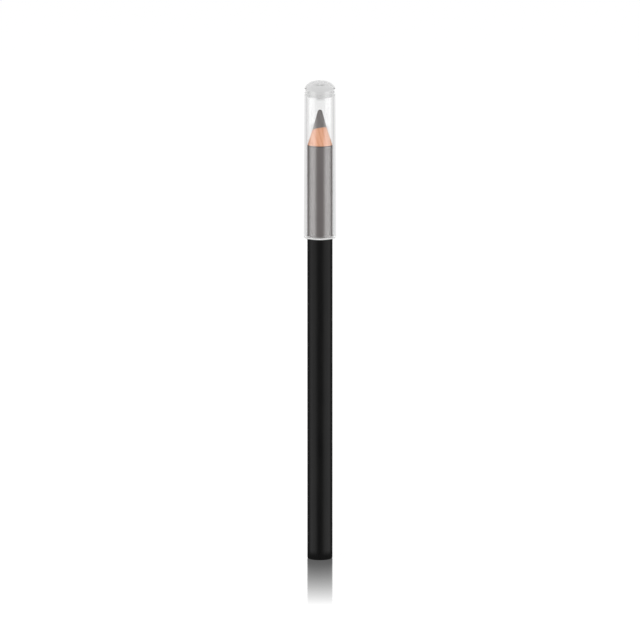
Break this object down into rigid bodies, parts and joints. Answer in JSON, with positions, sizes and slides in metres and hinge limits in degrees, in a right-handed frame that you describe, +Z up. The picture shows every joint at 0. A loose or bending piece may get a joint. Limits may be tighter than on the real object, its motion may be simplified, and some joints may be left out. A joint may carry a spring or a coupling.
{
  "type": "kohl pencil",
  "caption": "Slim round wooden kohl pencil with a sharpened grey core, black lacquered barrel, taupe shade band and a clear domed pull-off cap.",
  "frame": {"origin": "middle of the pencil's flat lower end, on the surface it stands on", "axes": "+Z up along the pencil from its flat end to its capped point; the pictured side faces -Y, +X is to the right in that view"},
  "size_m": [0.009, 0.009, 0.1349],
  "materials": {
    "clear_plastic": "clear moulded plastic with a faint grey tint, polished",
    "kohl": "soft waxy kohl, satin where the sharpener cut it",
    "cut_wood": "bare pinkish cedar-like wood, cut by a sharpener",
    "dried_glue": "thin dried wood glue",
    "taupe_lacquer": "satin taupe lacquer",
    "black_lacquer": "satin black lacquer"
  },
  "bodies": {
    "pencil": {"kohl_core": "kohl", "casing_front": "cut_wood", "casing_back": "cut_wood", "glue_seam_left": "dried_glue", "glue_seam_right": "dried_glue", "shade_band": "taupe_lacquer", "barrel_lacquer": "black_lacquer", "end_seal": "black_lacquer"},
    "cap": {"cap": "clear_plastic"}
  },
  "joints": [
    {"name": "cap_slide", "type": "slide", "parent": "pencil", "child": "cap", "axis": [0, 0, 1], "range_m": [0, 0.045]}
  ]
}
